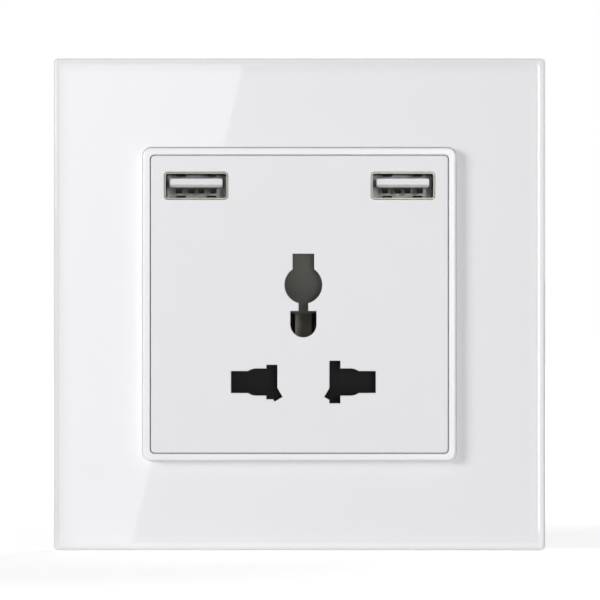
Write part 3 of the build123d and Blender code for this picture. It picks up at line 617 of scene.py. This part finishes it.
def back_painted_glass():
    """White lacquer with painted shading at its edges under a clear coat, and the plain green-white glass
    on the sheet's sides.
    """
    material, tree, shader, place = start_material(
        "back_painted_glass",
        Roughness=0.7,
        Coat_Weight=1.0,
        Coat_Roughness=0.012,
        Coat_IOR=1.52,
    )
    shader.inputs["Specular IOR Level"].default_value = 0.0
    surface = add_node(tree, "ShaderNodeNewGeometry").outputs["Normal"]
    facing = add_node(tree, "ShaderNodeSeparateXYZ", {"Vector": surface})
    side = add_node(
        tree,
        "ShaderNodeMapRange",
        {"Value": facing.outputs["Y"], "From Min": FRONT_FACING, "From Max": SIDE_FACING},
    )
    colour = add_node(
        tree,
        "ShaderNodeMix",
        {0: side.outputs["Result"], 6: lacquer_with_painted_edge_light(tree, place), 7: linear("#e2e8e5")},
        data_type="RGBA",
    )
    normal = add_node(
        tree,
        "ShaderNodeMix",
        {0: side.outputs["Result"], 4: (0.0, -1.0, 0.0), 5: surface},
        data_type="VECTOR",
    )
    tree.links.new(colour.outputs[2], shader.inputs["Base Color"])
    tree.links.new(normal.outputs[1], shader.inputs["Normal"])
    return material


paint(back_painted_glass(), glass)


# %% [markdown]
# ### White mouldings
#
# The face plate is moulded against finely spark-eroded steel, which leaves a grain of a few tenths of
# a millimetre: too fine to see as shapes, but it breaks the gloss into an even satin. The carrier,
# whose ring stands round the plate, is moulded against a smoother face and shines a little more. A
# picture of the grain would need every piece unwrapped; noise on Object coordinates covers all sides.

# %% White mouldings
def moulded_white(name, light, dark, grain, roughness, depth):
    """A white plastic: clouds of two close whites, and a grain that moves roughness and bump."""
    material, tree, shader, place = start_material(name, IOR=1.53)
    cloud = add_node(tree, "ShaderNodeTexNoise", {"Vector": place, "Scale": per_mm(25), "Detail": 3.0})
    colour = add_node(
        tree,
        "ShaderNodeMix",
        {0: cloud.outputs["Fac"], 6: linear(dark), 7: linear(light)},
        data_type="RGBA",
    )
    pits = add_node(tree, "ShaderNodeTexNoise", {"Vector": place, "Scale": per_mm(grain), "Detail": 2.0})
    gloss = add_node(
        tree,
        "ShaderNodeMapRange",
        {"Value": pits.outputs["Fac"], "To Min": roughness - 0.06, "To Max": roughness + 0.06},
    )
    bump = add_node(
        tree,
        "ShaderNodeBump",
        {"Height": pits.outputs["Fac"], "Strength": 0.25, "Distance": depth * MM},
    )
    tree.links.new(colour.outputs[2], shader.inputs["Base Color"])
    tree.links.new(gloss.outputs["Result"], shader.inputs["Roughness"])
    tree.links.new(bump.outputs["Normal"], shader.inputs["Normal"])
    return material


satin_white = moulded_white(
    "satin_polycarbonate", "#ececee", "#e9e8eb", grain=0.35, roughness=0.42, depth=0.02
)
smooth_white = moulded_white(
    "smooth_polycarbonate", "#f4f4f6", "#f1f0f3", grain=0.6, roughness=0.24, depth=0.01
)
inner_white = moulded_white(
    "matt_inner_plastic", "#e6e6e4", "#dfdfdc", grain=0.3, roughness=0.55, depth=0.03
)
tongue_white = moulded_white(
    "tongue_plastic", "#e2e2e4", "#dcdcde", grain=0.5, roughness=0.3, depth=0.01
)
paint(satin_white, nodes["face_plate"])
paint(smooth_white, nodes["panel_carrier"])
paint(inner_white, nodes["inner_cover"])
paint(tongue_white, nodes["usb_tongue_left"], nodes["usb_tongue_right"])


# %% [markdown]
# ### Grey, black and coloured plastics
#
# The case and its slightly paler rear cover are nylon filled with glass fibre. The fibres show as
# fine pale flecks that lie along the flow; even noise would look like stone, so here it is stretched
# along X. The shutter is a black plastic and its earth ramp a grey acetal, both nearly plain.
# Capacitor sleeves, chips, ferrite, tape, lacquer, board and wires inside the case are matt or waxy,
# each with its own grain.

# %% Flecked plastics
def speckled(name, base, fleck, grain, amount, roughness, stretch=1.0):
    """A matt material with flecks: noise stretched along X, of which only the highest part shows."""
    material, tree, shader, place = start_material(name, IOR=1.5)
    lie = add_node(tree, "ShaderNodeMapping", {"Vector": place, "Scale": (1.0 / stretch, 1.0, 1.0)})
    noise = add_node(
        tree, "ShaderNodeTexNoise", {"Vector": lie.outputs["Vector"], "Scale": per_mm(grain), "Detail": 3.0}
    )
    high = add_node(
        tree,
        "ShaderNodeMapRange",
        {"Value": noise.outputs["Fac"], "From Min": 0.5, "From Max": 0.75, "To Max": amount},
    )
    colour = add_node(
        tree,
        "ShaderNodeMix",
        {0: high.outputs["Result"], 6: linear(base), 7: linear(fleck)},
        data_type="RGBA",
    )
    gloss = add_node(
        tree,
        "ShaderNodeMapRange",
        {"Value": noise.outputs["Fac"], "To Min": roughness - 0.1, "To Max": roughness + 0.1},
    )
    bump = add_node(
        tree, "ShaderNodeBump", {"Height": noise.outputs["Fac"], "Strength": 0.3, "Distance": 0.03 * MM}
    )
    tree.links.new(colour.outputs[2], shader.inputs["Base Color"])
    tree.links.new(gloss.outputs["Result"], shader.inputs["Roughness"])
    tree.links.new(bump.outputs["Normal"], shader.inputs["Normal"])
    return material


# %% Case and shutter
# Real fibres are a hundredth of a millimetre thick. The flecks are drawn coarser, so that they show.
filled_nylon = speckled(
    "glass_filled_nylon", "#6d6e70", "#8d8e90", grain=0.5, amount=0.7, roughness=0.5, stretch=3.0
)
cover_nylon = speckled(
    "glass_filled_nylon_cover", "#77787a", "#96979a", grain=0.5, amount=0.7, roughness=0.55, stretch=3.0
)
# Unfilled plastic that rubs on its guides: almost black, even and without gloss. Its colour is set
# as dark as the pin holes look, so it also carries painted shade for the depth of the holes.
black_plastic = speckled("shutter_plastic", "#0c0f10", "#121516", grain=0.4, amount=0.5, roughness=0.75)
ramp_acetal = speckled("ramp_acetal", "#62625d", "#6c6c66", grain=0.4, amount=0.5, roughness=0.6)
paint(filled_nylon, nodes["socket_housing"])
paint(cover_nylon, nodes["rear_cover"])
paint(black_plastic, nodes["safety_shutter"])
paint(ramp_acetal, nodes["earth_ramp"])

# %% Charger
# Pressed and sintered powder: dull and dark, with a sparkle of crystals.
ferrite = speckled("sintered_ferrite", "#3c3c3d", "#5a5a5c", grain=0.25, amount=0.6, roughness=0.6)
# Shrunk film: waxy and nearly even.
sleeve = speckled("shrunk_sleeve", "#26272a", "#303136", grain=1.5, amount=0.5, roughness=0.35)
# Epoxy moulded with quartz powder: a fine matt grain.
epoxy = speckled("chip_epoxy", "#28282a", "#3a3a3c", grain=0.2, amount=0.7, roughness=0.55)
# Drawn film, wound on: glossy, with long faint streaks.
tape = speckled(
    "polyester_tape", "#d8b53a", "#e6c95c", grain=3.0, amount=0.5, roughness=0.3, stretch=6.0
)
# Dipped lacquer: an uneven satin.
fuse_lacquer = speckled("resistor_lacquer", "#a98f68", "#b89f78", grain=0.8, amount=0.5, roughness=0.4)
# Woven glass in epoxy under a green lacquer: faint streaks along the threads.
laminate = speckled(
    "board_laminate", "#2f6a45", "#417f58", grain=0.6, amount=0.6, roughness=0.35, stretch=4.0
)
# Extruded insulation: an even, low gloss.
brown_wire = speckled("brown_insulation", "#6e4a30", "#7b563a", grain=1.0, amount=0.5, roughness=0.35)
blue_wire = speckled("blue_insulation", "#2f5f9c", "#3b6cab", grain=1.0, amount=0.5, roughness=0.35)
paint(ferrite, nodes["transformer_core"], nodes["choke"])
paint(sleeve, nodes["input_capacitor"], nodes["output_capacitor"])
paint(epoxy, nodes["controller_chip"], nodes["rectifier"])
paint(tape, nodes["transformer_winding"])
paint(fuse_lacquer, nodes["fuse_resistor"])
paint(laminate, nodes["charger_board"])
paint(brown_wire, nodes["live_lead"])
paint(blue_wire, nodes["neutral_lead"])


# %% [markdown]
# ### Metals
#
# Zinc plating over rolled sheet keeps the fine lines of the rolling and clouds a little. Brass blocks
# are sawn and show cutter marks. The USB shells are nickel plated, drawn and folded. In each the
# metal's colour is steady, and what the eye sees is how the gloss changes along the lines. An
# anisotropic shader would stretch the highlights too, but lines in the roughness can be baked.

# %% Lined metals
LINE_STRETCH = 60
METAL_CLOUD = 6


def lined_metal(name, light, dark, line, roughness, depth):
    """A metal with rolling or cutter lines: noise drawn out along X."""
    material, tree, shader, place = start_material(name, Metallic=1.0)
    lie = add_node(tree, "ShaderNodeMapping", {"Vector": place, "Scale": (1 / LINE_STRETCH, 1.0, 1.0)})
    lines = add_node(
        tree, "ShaderNodeTexNoise", {"Vector": lie.outputs["Vector"], "Scale": per_mm(line), "Detail": 3.0}
    )
    cloud = add_node(
        tree, "ShaderNodeTexNoise", {"Vector": place, "Scale": per_mm(METAL_CLOUD), "Detail": 2.0}
    )
    colour = add_node(
        tree,
        "ShaderNodeMix",
        {0: cloud.outputs["Fac"], 6: linear(dark), 7: linear(light)},
        data_type="RGBA",
    )
    gloss = add_node(
        tree,
        "ShaderNodeMapRange",
        {"Value": lines.outputs["Fac"], "To Min": roughness - 0.1, "To Max": roughness + 0.1},
    )
    bump = add_node(
        tree, "ShaderNodeBump", {"Height": lines.outputs["Fac"], "Strength": 0.2, "Distance": depth * MM}
    )
    tree.links.new(colour.outputs[2], shader.inputs["Base Color"])
    tree.links.new(gloss.outputs["Result"], shader.inputs["Roughness"])
    tree.links.new(bump.outputs["Normal"], shader.inputs["Normal"])
    return material


# %% Metals
# Real rolling lines are about a tenth as wide. They are drawn coarse enough to show.
# Zinc on rolled sheet: cool and fairly bright.
zinc = lined_metal("zinc_plated_steel", "#d3d6da", "#c2c5c8", line=0.3, roughness=0.34, depth=0.02)
# Drawn wire and strip: smoother, with finer lines.
spring_steel = lined_metal("drawn_spring_steel", "#bcbcbb", "#a9a9a8", line=0.15, roughness=0.3, depth=0.01)
# Tin over bronze: dull grey with a warm tint.
tinned = lined_metal("tinned_bronze", "#908c84", "#7e7a73", line=0.4, roughness=0.5, depth=0.02)
# Sawn brass: warm, with cutter marks.
brass = lined_metal("sawn_brass", "#dcc07e", "#c9a963", line=0.25, roughness=0.32, depth=0.02)
# Nickel on folded sheet: a slightly warm grey, painted much darker than bright nickel as painted
# shade for the dim reflections inside the ports.
nickel = lined_metal("nickel_plated_shell", "#7c7c74", "#6e6e67", line=0.3, roughness=0.36, depth=0.01)
# Thin plating on the USB leaves: dull, and browner than the shell.
plated = lined_metal("plated_contacts", "#7a766c", "#6a665d", line=0.2, roughness=0.45, depth=0.01)
paint(zinc, nodes["mounting_yoke"], nodes["board_screws"], case_screws, yoke_screws, *clamp_screws)
paint(spring_steel, clips, *springs)
paint(tinned, nodes["neutral_contact"], nodes["live_contact"], nodes["earth_contact"])
for wire in CLAMP_PLACES:
    paint(brass, nodes[wire + "_terminal"], nodes[wire + "_clamp_pad"])
paint(nickel, nodes["usb_shell_left"], nodes["usb_shell_right"])
paint(plated, *usb_contacts)

# %% [markdown]
# ## Floor and world
#
# The photograph is a product shot on white. Lighting the floor until it clips would wash out the
# socket as well. Instead the world is white where the camera or a mirror looks at it, and dimmer as a
# light, and the floor adds a little white of its own for the camera, and still takes the shadow.

# %% Floor and world
FLOOR_SIZE = 6.0
FLOOR_COLUMNS = 40
FLOOR_GAP = 0.1
# Distance from the socket in metres, and the white that the floor adds there.
GLOW_NEAR = (0.12, 0.5)
GLOW_FAR = (0.5, 0.86)
WORLD_LIGHT = 0.22
WORLD_SEEN = 1.0
ground = np.linspace(-FLOOR_SIZE / 2, FLOOR_SIZE / 2, FLOOR_COLUMNS) / MM
floor_x, floor_y = np.meshgrid(ground, ground, indexing="ij")
floor_points = np.stack([floor_x, floor_y, np.full_like(floor_x, cad_low.z / MM - FLOOR_GAP)], axis=-1)
floor_faces = grid_faces(FLOOR_COLUMNS, FLOOR_COLUMNS, rows_join=False, columns_join=False)
floor = make_piece("floor", [(floor_points, floor_faces)], sharp_degrees=30)
# Mirrors look past the floor, so that its edge doesn't cut the softbox's image in the glass.
floor.visible_glossy = False


def seen_directly(tree):
    """One where a ray comes from the camera or from a mirror or clear surface, and nought elsewhere."""
    path = add_node(tree, "ShaderNodeLightPath").outputs
    either = add_node(
        tree, "ShaderNodeMath", {0: path["Is Camera Ray"], 1: path["Is Glossy Ray"]}, operation="MAXIMUM"
    )
    return add_node(
        tree,
        "ShaderNodeMath",
        {0: either.outputs[0], 1: path["Is Transmission Ray"]},
        operation="MAXIMUM",
    ).outputs[0]


def white_floor():
    """A matt white floor that also glows where it is looked at, more so far from the lamps."""
    material, tree, shader, place = start_material("white_floor", Roughness=0.9)
    shader.inputs["Base Color"].default_value = linear("#f2f2f2")
    shader.inputs["Specular IOR Level"].default_value = 0.0
    shader.inputs["Emission Color"].default_value = linear("#ffffff")
    distance = add_node(tree, "ShaderNodeVectorMath", {0: place}, operation="LENGTH")
    lack = add_node(
        tree,
        "ShaderNodeMapRange",
        {
            "Value": distance.outputs["Value"],
            "From Min": GLOW_NEAR[0],
            "From Max": GLOW_FAR[0],
            "To Min": GLOW_NEAR[1],
            "To Max": GLOW_FAR[1],
        },
    )
    glow = add_node(
        tree, "ShaderNodeMath", {0: seen_directly(tree), 1: lack.outputs["Result"]}, operation="MULTIPLY"
    )
    tree.links.new(glow.outputs[0], shader.inputs["Emission Strength"])
    return material


paint(white_floor(), floor)

world = bpy.data.worlds.new("white_studio")
bpy.context.scene.world = world
world.use_nodes = True
sky = world.node_tree
strength = add_node(
    sky,
    "ShaderNodeMapRange",
    {"Value": seen_directly(sky), "To Min": WORLD_LIGHT, "To Max": WORLD_SEEN},
)
background = sky.nodes["Background"]
background.inputs["Color"].default_value = linear("#ffffff")
sky.links.new(strength.outputs["Result"], background.inputs["Strength"])

# %% [markdown]
# ## Lamps
#
# A soft key light stands at the upper left, and its shadow falls to the right of the raised ring. A
# tall softbox behind the camera shows in the glass, and its right edge is the slanted line there. A
# strip beside the camera looks into the holes. Fills at the right and behind light the other sides,
# which the photograph doesn't show. A sun lamp would be simpler, but its shadows have hard edges.

# %% Lamps
MIDDLE = (0.0, 0.0, 0.0)
# The tall softbox's right edge leans by this angle, and crosses this place, in metres from the middle.
EDGE_LEAN = math.radians(13.0)
EDGE_X = -0.0566
BOX_DISTANCE = 1.5
BOX_WIDTH, BOX_HEIGHT = 0.3, 0.7


def softbox(name, place, width, height, watts, aim=MIDDLE, roll=0.0):
    """A rectangular lamp at a place, facing another, rolled about the line between them."""
    lamp = bpy.data.lights.new(name, "AREA")
    lamp.shape = "RECTANGLE"
    lamp.size = width
    lamp.size_y = height
    lamp.energy = watts
    holder = bpy.data.objects.new(name, lamp)
    direction = Vector(aim) - Vector(place)
    holder.rotation_mode = "QUATERNION"
    holder.rotation_quaternion = direction.to_track_quat("-Z", "Y") @ Quaternion((0, 0, 1), roll)
    holder.location = place
    bpy.context.scene.collection.objects.link(holder)
    print(name, "watts:", watts)
    return holder


softbox("key_light", (-0.66, -0.52, 0.2), width=0.34, height=0.34, watts=3.8)
# The strip stands too far out to be mirrored by the flat glass, but the right bevel mirrors it as a
# thin white line.
softbox("front_strip", (0.2, -1.25, 0.02), width=0.1, height=0.25, watts=3.4)
softbox("side_fill", (0.95, -0.02, 0.25), width=0.5, height=0.5, watts=1.8)
softbox("rear_fill", (0.55, 1.0, 0.5), width=0.6, height=0.6, watts=5.7)
box_x = EDGE_X - math.cos(EDGE_LEAN) * BOX_WIDTH / 2
box_z = math.sin(EDGE_LEAN) * BOX_WIDTH / 2
softbox(
    "tall_softbox",
    (box_x, -BOX_DISTANCE - GLASS_FRONT * MM, box_z),
    width=BOX_WIDTH,
    height=BOX_HEIGHT,
    watts=1.05,
    aim=(box_x, 0, box_z),
    roll=-EDGE_LEAN,
)

# %% [markdown]
# ## Camera
#
# The photograph looks straight at the panel from so far away that the sides of the holes hardly
# show. A long lens a metre away gives that. Its focal length follows from how many pixels a
# millimetre of the panel takes in the photograph, and the offset puts the panel where it is there.

# %% Camera
PIXELS_PER_MM = 4.917
PICTURE_PIXELS = 600
CAMERA_DISTANCE = 1.0
CAMERA_RIGHT = 0.1
CAMERA_UP = 0.86
camera_data = bpy.data.cameras.new("front_camera")
camera = bpy.data.objects.new("front_camera", camera_data)
bpy.context.scene.collection.objects.link(camera)
camera_data.sensor_width = 36.0
frame_width = PICTURE_PIXELS / PIXELS_PER_MM * MM
camera_data.lens = camera_data.sensor_width * CAMERA_DISTANCE / frame_width
camera.location = (CAMERA_RIGHT * MM, -CAMERA_DISTANCE - GLASS_FRONT * MM, CAMERA_UP * MM)
camera.rotation_euler = (math.pi / 2, 0, 0)
bpy.context.scene.camera = camera
bpy.context.scene.view_settings.view_transform = "Standard"
print("lens:", round(camera_data.lens, 1), "frame width in mm:", round(frame_width / MM, 1))
